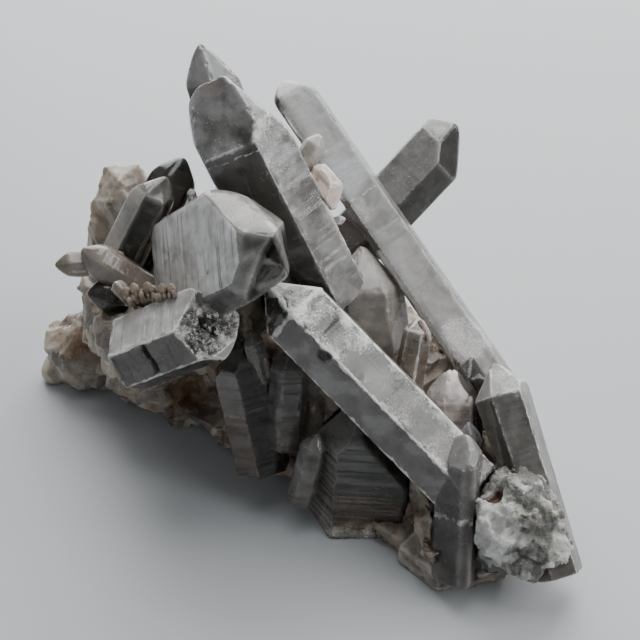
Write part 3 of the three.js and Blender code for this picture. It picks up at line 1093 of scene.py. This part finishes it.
@dataclass(frozen=True)
class Studio:
    """A pale floor that curves up all round, soft lights from behind and above, the camera.

    Metres. The camera looks down and is turned by so many degrees, with a lens in millimetres.
    """

    floor: str = "#b4b7b9"
    sky: str = "#c4c9ce"
    sky_strength: float = 0.35
    flat_radius: float = 0.9
    rim_radius: float = 1.6
    rim_height: float = 0.25
    lens: float = 60.0
    down: float = 40.0
    turned: float = 2.4
    camera_place: Triple = (0.007219, -0.167385, 0.177693)
    lights: tuple[Softbox, ...] = (
        Softbox("window_behind", (0.1, 0.95, 0.62), 1.3, 26.0),
        Softbox("window_right", (0.95, -0.15, 0.75), 0.9, 11.0),
        Softbox("overhead", (0.1, 0.25, 1.1), 0.6, 4.5),
    )

    def dish(self) -> None:
        """The floor: a profile turned round the vertical, flat first and then a quarter curve."""
        turn = np.linspace(0.0, 2.0 * math.pi, 96, endpoint=False)
        bend = np.linspace(0.0, math.pi / 2, 24)
        rise = self.rim_radius - self.flat_radius
        radius = np.concatenate([[0.02, 0.3, 0.6], self.flat_radius + rise * np.sin(bend)])
        height = np.concatenate([[0.0, 0.0, 0.0], self.rim_height * (1.0 - np.cos(bend))])
        across = radius[:, None] * np.stack([np.cos(turn), np.sin(turn)])[:, None, :]
        tall = np.broadcast_to(height[:, None], across.shape[1:])
        grid = np.concatenate([across, tall[None]]).transpose(1, 2, 0)
        index = np.arange(grid.shape[0] * grid.shape[1]).reshape(grid.shape[:2])
        after = np.roll(index, -1, axis=1)
        quads = np.stack([index[:-1], index[1:], after[1:], after[:-1]], -1).reshape(-1, 4)
        mesh = bpy.data.meshes.new("studio_floor")
        mesh.from_pydata(grid.reshape(-1, 3), [], quads.tolist() + [index[0].tolist()])
        mesh.shade_smooth()
        material, tree, out = fresh("painted_floor")
        shader = add(tree, "BsdfPrincipled", {"Base Color": linear(self.floor), "Roughness": 0.5})
        tree.links.new(shader.outputs[0], out.inputs["Surface"])
        mesh.materials.append(material)
        linked("studio_floor", mesh)

    def camera(self) -> None:
        """The camera, with nothing out of focus."""
        data = bpy.data.cameras.new("camera")
        data.lens = self.lens
        data.sensor_width = 36.0
        data.clip_start = 0.01
        data.clip_end = 10.0
        camera = linked("camera", data)
        stand = Matrix.Rotation(math.radians(90.0 - self.down), 4, "X")
        turn = Matrix.Rotation(math.radians(-self.turned), 4, "Z")
        camera.matrix_world = Matrix.Translation(self.camera_place) @ stand @ turn
        bpy.context.scene.camera = camera

    def build(self) -> None:
        """Sets up the floor, the lights, the sky and the camera."""
        self.dish()
        for light in self.lights:
            light.build()
        world = bpy.data.worlds.new("studio_sky")
        world.use_nodes = True
        background = world.node_tree.nodes["Background"]
        background.inputs[0].default_value = linear(self.sky)
        background.inputs[1].default_value = self.sky_strength
        bpy.context.scene.world = world
        self.camera()


# ---------------------------------------------------------------- the cluster


def chance(first: int, second: int) -> float:
    """A repeatable number from 0 to 1 for a pair of whole numbers."""
    wave = math.sin(first * 12.9898 + second * 78.233) * 43758.5453
    return wave - math.floor(wave)


# In the growths below, the milkiness listed face by face (haze, tip_haze) also paints each face lighter or
# darker as the light falls on it, and the white lines and milkiness along the edges paint edge highlights.
SMALL = Growth(
    striation=0.01, waviness=0.05, rounding=0.3, chips=0, dust=0.3, worn_with_lit_edges=0.05, tip_frost=0.2, frost_reach=0.6,
    haze=0.65, tip_haze=0.7, stain=0.4, stain_from=1,
)
VALLEY = ((-30.5, -3.2, 48.0), (-19.8, -6.8, 51.6))
VALLEY_COUNT = 30


def valley_crystals() -> tuple[Crystal, ...]:
    """The row of tiny crystals between the two striated ones, of mixed sizes and leans.

    Returns:
        The crystals, the last of them the rounder one at the row's left end.
    """
    start, end = (np.array(place) for place in VALLEY)
    found = []
    for i in range(VALLEY_COUNT):
        big = i % 5 == 1
        foot = start + (end - start) * (i + 0.9 * chance(41, i)) / VALLEY_COUNT
        foot = foot + np.array((0.0, 2.2 * (chance(42, i) - 0.5), -0.3))
        rise = 0.9 + 1.0 * chance(44, i) + (1.7 if big else 0.0)
        width = (0.7 + 0.3 * chance(45, i)) if big else 0.28 + 0.3 * chance(45, i)
        tip = (foot[0] + 1.2 * (chance(43, i) - 0.5), foot[1] - 0.9, foot[2] + rise)
        root = (foot[0], foot[1] + 0.4, foot[2] - 1.5)
        found.append(Crystal(tip, root, 60.0 * chance(46, i), width, 0.15, 0.9, None, SMALL, 240 + i, 60.0))
    round_one = Growth(rounding=0.6, chips=0, dust=0.1, tip_frost=0.3, haze=0.4, tip_haze=0.4, stain=0.4)
    found.append(Crystal((-32.0, -3.8, 51.9), (-30.2, -1.8, 46.0), 20, 1.5, 0.4, growth=round_one, seed=201))
    return tuple(found)


def striated() -> Iterator[CrystalGroup]:
    """The two striated crystals and the small ones in the valley between them.

    Yields:
        A group for each finish.
    """
    upper = Growth(
        striation=0.08, rounding=0.45, chips=0.08, dust=0.12, haze=(0.2, 0.3, 0.3, 0.3, 0.3, 0.88),
        tip_haze=(0.18, 0.02, 0.05, 0.3, 0.26, 0.2), cloud=0.12, rim_glow=0.2, rim_width=1.6, stain=0.1,
        patches=(
            Patch((-7.6, -1.8, 67.4), 6, haze=0.15, stain=0.18), Patch((-3, -12, 66.5), 3.4, haze=-0.1),
            Patch((1.5, -10.5, 66), 2.6, haze=0.25, stain=0.35),
        ),
    )
    lower = Growth(
        striation=0.12, rounding=0.12, dust=0.3, worn_with_lit_edges=0.35, haze=(0.16, 0.1, 0.1, 0.3, 0.5, 0.6),
        tip_haze=0.5, cloud=0.1, stain=0.1,
        grooves=(
            Groove(15.1, 0.55, 1.2, 0), *(Groove(d, 0.13, 0.03, 5, 0.5) for d in (7.4, 9.3, 9.9, 12.6, 14.8)),
        ),
        patches=(Patch((-14.5, -13.9, 47.6), 3, haze=-0.2, dust=-0.4),),
    )
    yield CrystalGroup(
        "striated_crystals", "striated_crystal_pair",
        (
            Crystal(
                (0.5, -12, 68.5), (-22.5, 10, 41), 30, (10, 9.5, 9.8, 9.8, 12.7, 5.5),
                (1.9, 0, 0, 0, -0.5, 0.7), growth=upper, seed=11,
            ),
            Crystal(
                (-10.5, -11.5, 48.5), (-31, -9.1, 37.7), -18, (6.8, 7, 6, 6.4, 7.5, 6), 3,
                broken=(0.7, -0.5, 1.2), growth=lower, seed=12,
            ),
        ),
        SmokyQuartz("striated_smoky_quartz", density=260, lines=0.5, line_size=0.7, line_share=0.3),
    )
    yield CrystalGroup(
        "valley_crystals", "striated_crystal_pair", valley_crystals(),
        SmokyQuartz("brown_druse", glass="#cfc3b4", haze="#b5a696", density=250, lines=0),
    )
    yield CrystalGroup(
        "yellow_sprout", "striated_crystal_pair",
        (Crystal((-12.9, -7.7, 57.4), (-14, -6.6, 52.9), 10, 0.5, growth=SMALL, seed=61),),
        SmokyQuartz("yellow_druse", glass="#e6cf93", haze="#d9c08a", density=60, lines=0),
    )


def tall_ones() -> Iterator[CrystalGroup]:
    """The tall crystal in front with its small guests, and the one behind it.

    Yields:
        A group for each finish.
    """
    tall = Growth(
        waviness=0.09, rounding=0.3, chip_reach=0.6, dust=0.22, worn_with_lit_edges=0.2, crumbs=1.8, tip_frost=0.1,
        haze=(0.3, 0.1, 0.1, 0.3, 0.08, 0.42), tip_haze=(0.4, 0.3, 0.3, 0.4, 0.32, 0.5), cloud=0.35,
        stain=0.1, grooves=(Groove(15.9, 0.2, 0.05, 4, 0.6),),
        patches=(
            Patch((-13.2, 24.6, 78.8), 4, haze=0.25, stain=0.35), Patch((-6.1, 14.9, 74), 4, haze=-0.14),
            Patch((-10.5, 13.8, 69.9), 5, haze=0.12), Patch((-1.3, 13.9, 72.8), 4, dust=0.35),
            Patch((0.6, 11.1, 66.5), 4.5, dust=0.3),
        ),
    )
    worn_with_lit_edges = Growth(rounding=0.4, dust=0.3, tip_frost=0.4, haze=0.4, tip_haze=0.5, stain_from=5)
    tabular = Growth(
        dust=0.1, worn_with_lit_edges=0.4, haze=0.75, tip_haze=0.75, rim_glow=0.9, rim_width=1, stain=0.2, stain_from=1,
        tip_stain=0.15, broken_depth=0.12,
    )
    rear = Growth(
        rounding=0.3, tip_frost=0.15, haze=(0.2, 0.1, 0.1, 0.04, 0.2, 0.25),
        tip_haze=(0.3, 0.3, 0.3, 0.45, 0.35, 0.5), cloud=0.25, stain=0.1,
    )
    yield CrystalGroup(
        "tall_front", "tall_front_crystal",
        (
            Crystal(
                (-12, 25, 81), (9.3, 10.2, 34.3), -40, (8.2, 9, 9, 10, 9, 9.6),
                (1.2, 0.2, 3.2, 5.1, -1.8, 0.5), growth=tall, seed=13,
                lean=(67, TIP_ANGLE, TIP_ANGLE, 68, TIP_ANGLE, TIP_ANGLE),
            ),
        ),
        # The dust colour is near white so that the painted glints among the specks shine out.
        SmokyQuartz("cloudy_smoky_quartz", haze="#a3a7ac", dust="#efeeeb", density=300, lines=0.07),
    )
    yield CrystalGroup(
        "side_guests", "tall_front_crystal",
        (
            Crystal((9.4, 22.8, 68), (1.5, 17.5, 57), 0, 2.3, growth=worn_with_lit_edges, seed=14),
            Crystal((13.6, 12.6, 53.4), (9, 13, 52), 0, 1, growth=worn_with_lit_edges, seed=16),
            Crystal((-17.6, 13.8, 61.6), (-17.1, 13.9, 55), 0, 0.9, growth=worn_with_lit_edges, seed=62),
        ),
        SmokyQuartz("pale_guest_quartz", glass="#ddd6cf", haze="#c3beb9", density=80),
    )
    yield CrystalGroup(
        "tabular_guest", "tall_front_crystal",
        (
            Crystal(
                (10.4, 13, 61.5), (9.8, 19, 57), -25, (4.4, 2.8, 4.9, 3.2, 2.6, 4.7),
                (1.6, 1.6, 2, -0.4, -0.4, 1.6), broken=(0.3, -0.14, 1.4), growth=tabular, seed=15,
            ),
        ),
        SmokyQuartz(
            "pinkish_quartz", glass="#f1e5da", haze="#eaddd3", dust="#f8f1ea", stain="#c79a78", density=30,
        ),
    )
    yield CrystalGroup(
        "tall_rear", "tall_rear_crystal",
        (
            Crystal(
                (-15.8, 44, 78.2), (-2.6, 20, 24), -20, (6.2, 6, 6, 5.4, 5.4, 6), (0.8, 0, 0, 1, 0.6, 0.8),
                growth=rear, seed=23, lean=60,
            ),
        ),
        SmokyQuartz("rear_smoky_quartz", haze="#9a9da2", lines=0.3),
    )


def long_ones() -> Iterator[CrystalGroup]:
    """The two long lying crystals and the one that points right behind them.

    Yields:
        A group for each finish.
    """
    silvery = Growth(
        waviness=0.07, rounding=0.12, chips=0.15, dust=0.3, worn_with_lit_edges=0.4, crumbs=3, tip_frost=0.1, frost_reach=3,
        haze=(0.2, 0.1, 0.1, 0.1, 0.34, 0.2), tip_haze=(0.3, 0.3, 0.3, 0.3, 0.05, 0.3), cloud=0.35, rim_glow=0.1,
        stain=0.1, stain_from=40, grooves=(Groove(11, 0.3, 0.1, 5, 0.5),),
        patches=(
            Patch((7.9, -15, 41), 1.6, haze=-0.3, dust=-1.2, dent=0.3), Patch((7, -9, 46.5), 4, dust=0.25),
            Patch((14, -10.5, 42.5), 4.5, dust=0.2), Patch((1.6, -3.8, 48.4), 3.5, dust=0.25),
        ),
    )
    pale = Growth(
        rounding=0.3, chips=0.08, dust=0.2, worn_with_lit_edges=0.12, tip_frost=0.9, frost_reach=3.5,
        haze=(0.3, 0.2, 0.2, 0.1, 0.07, 0.58), tip_haze=(0.4, 0.4, 0.4, 0.15, 0.25, 0.6), cloud=0.1, rim_glow=0.1,
        stain=0.1, stain_from=45, grooves=(Groove(33, 0.25, 0.05, 5, 0.3),),
        patches=(
            Patch((13.5, 26, 56), 6, haze=0.3, dust=0.1), Patch((16, 19, 50), 3.5, haze=0.1, dust=0.3),
            Patch((38.1, -1.6, 31.4), 6, dust=0.45, haze=0.2),
        ),
    )
    side = Growth(
        chips=0.15, dust=0.25, worn_with_lit_edges=0.12, tip_frost=0.8, frost_reach=3,
        haze=(0.04, 0.05, 0.05, 0.1, 0.25, 0.36), tip_haze=(0.04, 0.1, 0.2, 0.2, 0.3, 0.35), stain=0.4,
        stain_from=30,
    )
    yield CrystalGroup(
        "long_front", "long_front_crystal",
        (
            Crystal(
                (-4, 1, 50), (36, -27.5, 16), -42, (6, 6.6, 6.6, 7.7, 7.4, 6), (-2, 0, 0, 0, -1, -2),
                growth=silvery, seed=19,
            ),
        ),
        # The dust colour is near white so that the painted glints among the specks shine out.
        SmokyQuartz("silvery_smoky_quartz", haze="#96989b", dust="#f4f3f0", lines=0.06), 0.25,
    )
    yield CrystalGroup(
        "long_rear", "long_rear_crystal",
        (
            Crystal(
                (0.8, 47.4, 67.6), (47, -12, 18), -46, (4.8, 4.8, 4.8, 3.7, 5.8, 3.7),
                (0, 0, 0, 0, 1.5, -0.2), growth=pale, seed=20,
            ),
        ),
        SmokyQuartz("pale_smoky_quartz", haze="#b6b8bb", density=150),
    )
    yield CrystalGroup(
        "right_rear", "right_rear_crystal",
        (
            Crystal(
                (40.6, 42, 57), (8, 26.5, 28.7), -10, (7.2, 7, 6.4, 6.4, 6.3, 5.7), (-0.6, 0, 0, 0, 3.5, 0.6),
                growth=side, seed=24,
            ),
        ),
        SmokyQuartz("side_smoky_quartz", haze="#8b8d91", density=450),
    )


def left_ones() -> Iterator[CrystalGroup]:
    """The round-tipped pair and the small crystals at the left end.

    Yields:
        A group for each finish.
    """
    round_tip = Growth(
        rounding=1.1, chips=0, tip_frost=0.05, haze=(0.03, 0.05, 0.1, 0.2, 0.3, 0.6), tip_haze=(0.22,) * 6,
        rim_glow=0.2, rim_width=1.2, tip_stain=0.25,
    )
    dark = Growth(rounding=0.5, chips=0, dust=0.1, worn_with_lit_edges=0.03, haze=0.03, tip_haze=0.05, rim_glow=0.04)
    brown = Growth(
        rounding=1.2, chips=0, dust=0.12, tip_frost=0.1, haze=(0.3, 0.35, 0.5, 0.5, 0.5, 0.4), tip_haze=0.35,
        stain_from=8, tip_stain=0.3,
    )
    yield CrystalGroup(
        "round_tipped", "round_tipped_crystals",
        (
            Crystal(
                (-23, 23, 61), (-38, 12, 38), -35, (4, 4.4, 4.2, 4, 4.8, 3.8), (-1, 0, 0, 0, -1, -1),
                growth=round_tip, seed=25,
            ),
            Crystal((-19.5, 29.5, 60.5), (-34, 21, 36), -20, 5, growth=dark, seed=26),
        ),
        SmokyQuartz("worn_smoky_quartz", haze="#a39f99", density=500, lines=0.15),
    )
    yield CrystalGroup(
        "left_end", "left_end_crystals",
        (
            Crystal((-46.5, 9, 47.4), (-33, 12, 45), 10, 2.6, 0.6, growth=brown, seed=27),
            Crystal((-41.5, 9.5, 51.5), (-26, 8, 38), 0, 3.6, growth=brown, seed=28),
            Crystal((-40, 4, 43.5), (-29, 11, 37), 20, 3.4, 0.6, growth=dark, seed=29),
        ),
        SmokyQuartz("brown_smoky_quartz", glass="#c9c1b8", haze="#8c8379", density=400, lines=0.15),
    )


def middle_ones() -> Iterator[CrystalGroup]:
    """The crystals in the middle, between the long ones.

    Yields:
        A group for each finish.
    """
    veiled = Growth(tip_frost=0.1, haze=0.42, tip_haze=0.55, rim_glow=0.1, stain=0.2, stain_from=16)
    needle = Growth(
        worn_with_lit_edges=0.25, tip_frost=0.9, frost_reach=3.5, haze=0.22, tip_haze=0.4, rim_glow=0.3, stain=0.4, stain_from=6,
    )
    milky = Growth(
        rounding=0.5, dust=0.4, tip_frost=0.4, frost_reach=5, haze=0.66, tip_haze=0.75, cloud=0.4, rim_glow=0.1,
        stain=0.2, stain_from=8,
    )
    yield CrystalGroup(
        "spear", "spear_crystal",
        (Crystal((16.8, 17, 47), (17, 3, 20), -30, 6.2, -1.5, 1.5, growth=veiled, seed=30),),
        SmokyQuartz("beige_smoky_quartz", glass="#d5cec6", haze="#a5a29d", density=240),
    )
    yield CrystalGroup(
        "slender", "slender_crystal",
        (
            Crystal((27.8, -0.8, 38.3), (23, -12.5, 19), -30, 2.6, 0, 1.25, growth=needle, seed=31),
            Crystal((29.4, -5.9, 34.9), (27.4, -2.3, 38), 0, 0.5, growth=SMALL, seed=63),
        ),
        SmokyQuartz("clear_smoky_quartz", glass="#dcd0c3", haze="#aca6a0", density=300, lines=0.3),
    )
    yield CrystalGroup(
        "milky", "milky_crystal",
        (
            Crystal(
                (33.5, -7, 31), (33, -19, 10), -20, (5, 5, 5, 5.4, 5, 5), (0, 0, 0, 0, -1, -1), growth=milky,
                seed=32,
            ),
        ),
        SmokyQuartz("milky_quartz", glass="#efe6e0", haze="#e2dad5", stain="#c08a63", density=25, lines=0.3),
    )


def lower_ones() -> Iterator[CrystalGroup]:
    """The dark crystals at the front lower edge, and the pale foot under the right end.

    Yields:
        A group for each finish.
    """
    dark = Growth(
        striation=0.12, rounding=0.15, chips=0.1, dust=0.1, haze=(0.1, 0.05, 0.05, 0.4, 0.6, 0.16),
        tip_haze=(0.1, 0.1, 0.1, 0.2, 0.42, 0.2), rim_glow=0.1, stain=0.5, stain_from=19,
        patches=(
            Patch((15, -25, 5), 9, haze=0.25, stain=0.5), Patch((11, -26, 1), 4.5, haze=0.4, dust=0.5),
            Patch((17, -27, 1), 4, haze=0.4, dust=0.5), Patch((6.5, -24, 3), 4, haze=0.2, dust=0.3),
        ),
    )
    black = Growth(
        striation=0.06, chips=0.1, dust=0.08, worn_with_lit_edges=0.06, haze=(0.05, 0.05, 0.05, 0.25, 0.3, 0.03),
        tip_haze=0.05, rim_glow=0.1, stain=0.6, stain_from=14,
    )
    grey = Growth(
        striation=0.08, chips=0.15, dust=0.12, haze=(0.15, 0.1, 0.1, 0.1, 0.25, 0.2), stain=0.4,
        stain_from=16,
    )
    foot = Growth(dust=0.2, haze=0.45, tip_haze=0.45, cloud=0.6, rim_glow=0.3, stain_from=6)
    yield CrystalGroup(
        "squat", "squat_crystal",
        (
            Crystal(
                (13.9, -12.8, 26.9), (10.5, -21, -4.6), -10, (13.5, 11, 7.7, 7.7, 6.3, 7),
                (0, 0, 0, 0, -0.7, 1.3), growth=dark, seed=33,
            ),
        ),
        SmokyQuartz(
            "black_smoky_quartz", haze="#93908b", stain="#8a7660", lines=0.65, line_size=1, line_share=0.8,
        ),
    )
    yield CrystalGroup(
        "lower_front", "lower_front_crystals",
        (
            Crystal(
                (-9.6, -1.8, 36), (-5, -13.5, 8), -30, (4.4, 4.4, 4.4, 6.6, 5.2, 4.4), growth=black, seed=34,
            ),
            Crystal((1.3, -4, 35), (-1.3, -12.8, 14), 0, (3.6, 4, 4, 3.6, 4, 4), growth=grey, seed=35),
            Crystal((6, -16.5, 22), (1.4, -21.6, 6.5), 10, 2.7, growth=grey, seed=36),
            Crystal((-6.9, -4.1, 38.8), (-4.9, -6.9, 27), -30, 2.1, growth=grey, seed=37),
        ),
        SmokyQuartz(
            "lower_smoky_quartz", haze="#85827e", density=400, lines=0.4, line_size=1.2, line_share=0.7,
        ),
    )
    yield CrystalGroup(
        "pale_foot", "matrix", (Crystal((32, -29, 15), (31, -31.5, -6), 5, 9.3, growth=foot, seed=64),),
        SmokyQuartz("pale_foot_quartz", glass="#e2d9cf", haze="#d6cec4", density=60, lines=0.3),
    )


def right_ones() -> Iterator[CrystalGroup]:
    """The crystals at the right end.

    Yields:
        A group for each finish.
    """
    end = Growth(
        rounding=0.12, chips=0.15, chip_reach=0.4, dust=0.17, worn_with_lit_edges=0.16, crumbs=0.4, tip_frost=0.15,
        haze=(0.3, 0.1, 0.1, 0.03, 0.02, 0.14), tip_haze=(0.35, 0.2, 0.2, 0.1, 0.4, 0.2), rim_glow=0.12, stain=0.2,
        stain_from=34, patches=(Patch((44.5, -14.5, 33), 4.5, haze=0.25, dust=0.3),),
    )
    dark = Growth(chips=0, dust=0.1, worn_with_lit_edges=0.03, haze=0.03, tip_haze=0.05, rim_glow=0.04)
    capped = Growth(
        rounding=0.6, dust=0.14, tip_frost=0.15, frost_reach=5, haze=(0.3, 0.1, 0.1, 0.05, 0.07, 0.12),
        tip_haze=0.34, rim_glow=0.2, rim_width=1.2, stain=0.15,
        grooves=(Groove(7.6, 0.3, 0.15, None, 0.35), Groove(18, 0.8, 0.2, None, 0.4)),
    )
    leafy = Growth(tip_frost=0.2, haze=0.2, tip_haze=0.3, rim_glow=0.4, stain_from=8)
    yield CrystalGroup(
        "right_end", "right_end_crystal",
        (
            Crystal(
                (41.5, -10.8, 33.9), (52, -42.6, 6.2), -38, (4.4, 5.4, 5.4, 5.4, 6.2, 5.1),
                (0, 0, 0, 0, 0.4, -0.4), 0.8, growth=end, seed=21,
            ),
            Crystal((38, -5.5, 31), (36, -18, 12), -10, 3.6, growth=dark, seed=22),
        ),
        SmokyQuartz("dark_smoky_quartz", haze="#9a9c9e", density=480, lines=0.15),
    )
    yield CrystalGroup(
        "capped", "capped_crystal",
        (
            Crystal(
                (33.6, -24.4, 30.2), (31.4, -40.5, 3), -15, (4, 4.5, 4.5, 4.7, 3.4, 5.2), (0, 0, 0, 0, -2, 0),
                growth=capped, seed=17,
            ),
            Crystal((36.2, -16.4, 23.4), (36.4, -24, 9), 10, (2.2, 3, 3, 2.2, 3, 3), growth=leafy, seed=18),
        ),
        SmokyQuartz("capped_smoky_quartz", haze="#86888c", density=460, lines=0.15),
    )


def rocks() -> Iterator[Rock]:
    """The lump that all grew from, and the rough block at its right end.

    Yields:
        Each rock.
    """
    yield Rock(
        "matrix_rock", "matrix",
        MassiveQuartz(
            "milky_massive_quartz", white="#d2c8bb", cream="#9c8b76", glassy="#67605a", stained=0.35,
            glass=0.3,
        ),
        patches=(
            Patch((-58, 28, 5), 9, dust=0.8, haze=-0.8, stain=-0.6), Patch((-48, 22, 14), 6.5, stain=0.5),
            Patch((-36, 10, 30), 8, haze=0.5), Patch((-22, 8, 12), 8, stain=0.35, haze=0.3),
            Patch((-36, 38, 50), 10, dust=0.7, haze=-0.8, stain=-0.5),
            Patch((22, -25, 6), 6, haze=0.2, stain=0.3),
        ),
    )
    yield Rock(
        "broken_block_rock", "broken_block",
        MassiveQuartz(
            "granular_quartz", white="#efeeea", cream="#8f8c83", glassy="#44463f", stain="#5c2f1a", grain=0.5,
            stained=0, glass=0.36, relief=1,
        ),
        voxel=0.4, layers=((4.2, 0.9), (1.9, 0.5), (0.9, 0.25)), soft=0.3, inward=0.3,
        patches=(
            Patch((37.4, -34.8, 23.6), 2.5, stain=1.1, dust=-0.3, dent=1.4),
            Patch((38.5, -40.5, 17.5), 6.5, dust=1.2, haze=-1.3),
            Patch((45.5, -41, 21), 5, dust=-0.2, haze=0.5),
            Patch((51.5, -43, 15), 4, dust=0.3, haze=-0.6, stain=0.4),
        ),
        seed=17,
    )


def main() -> None:
    """Loads the frame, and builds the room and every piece."""
    logging.basicConfig(level=logging.INFO, format="%(name)s: %(message)s")
    FRAME.update(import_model())
    Studio().build()
    for groups in (striated, tall_ones, long_ones, left_ones, middle_ones, lower_ones, right_ones):
        for group in groups():
            group.build()
    for rock in rocks():
        rock.build()


if __name__ == "__main__":
    main()
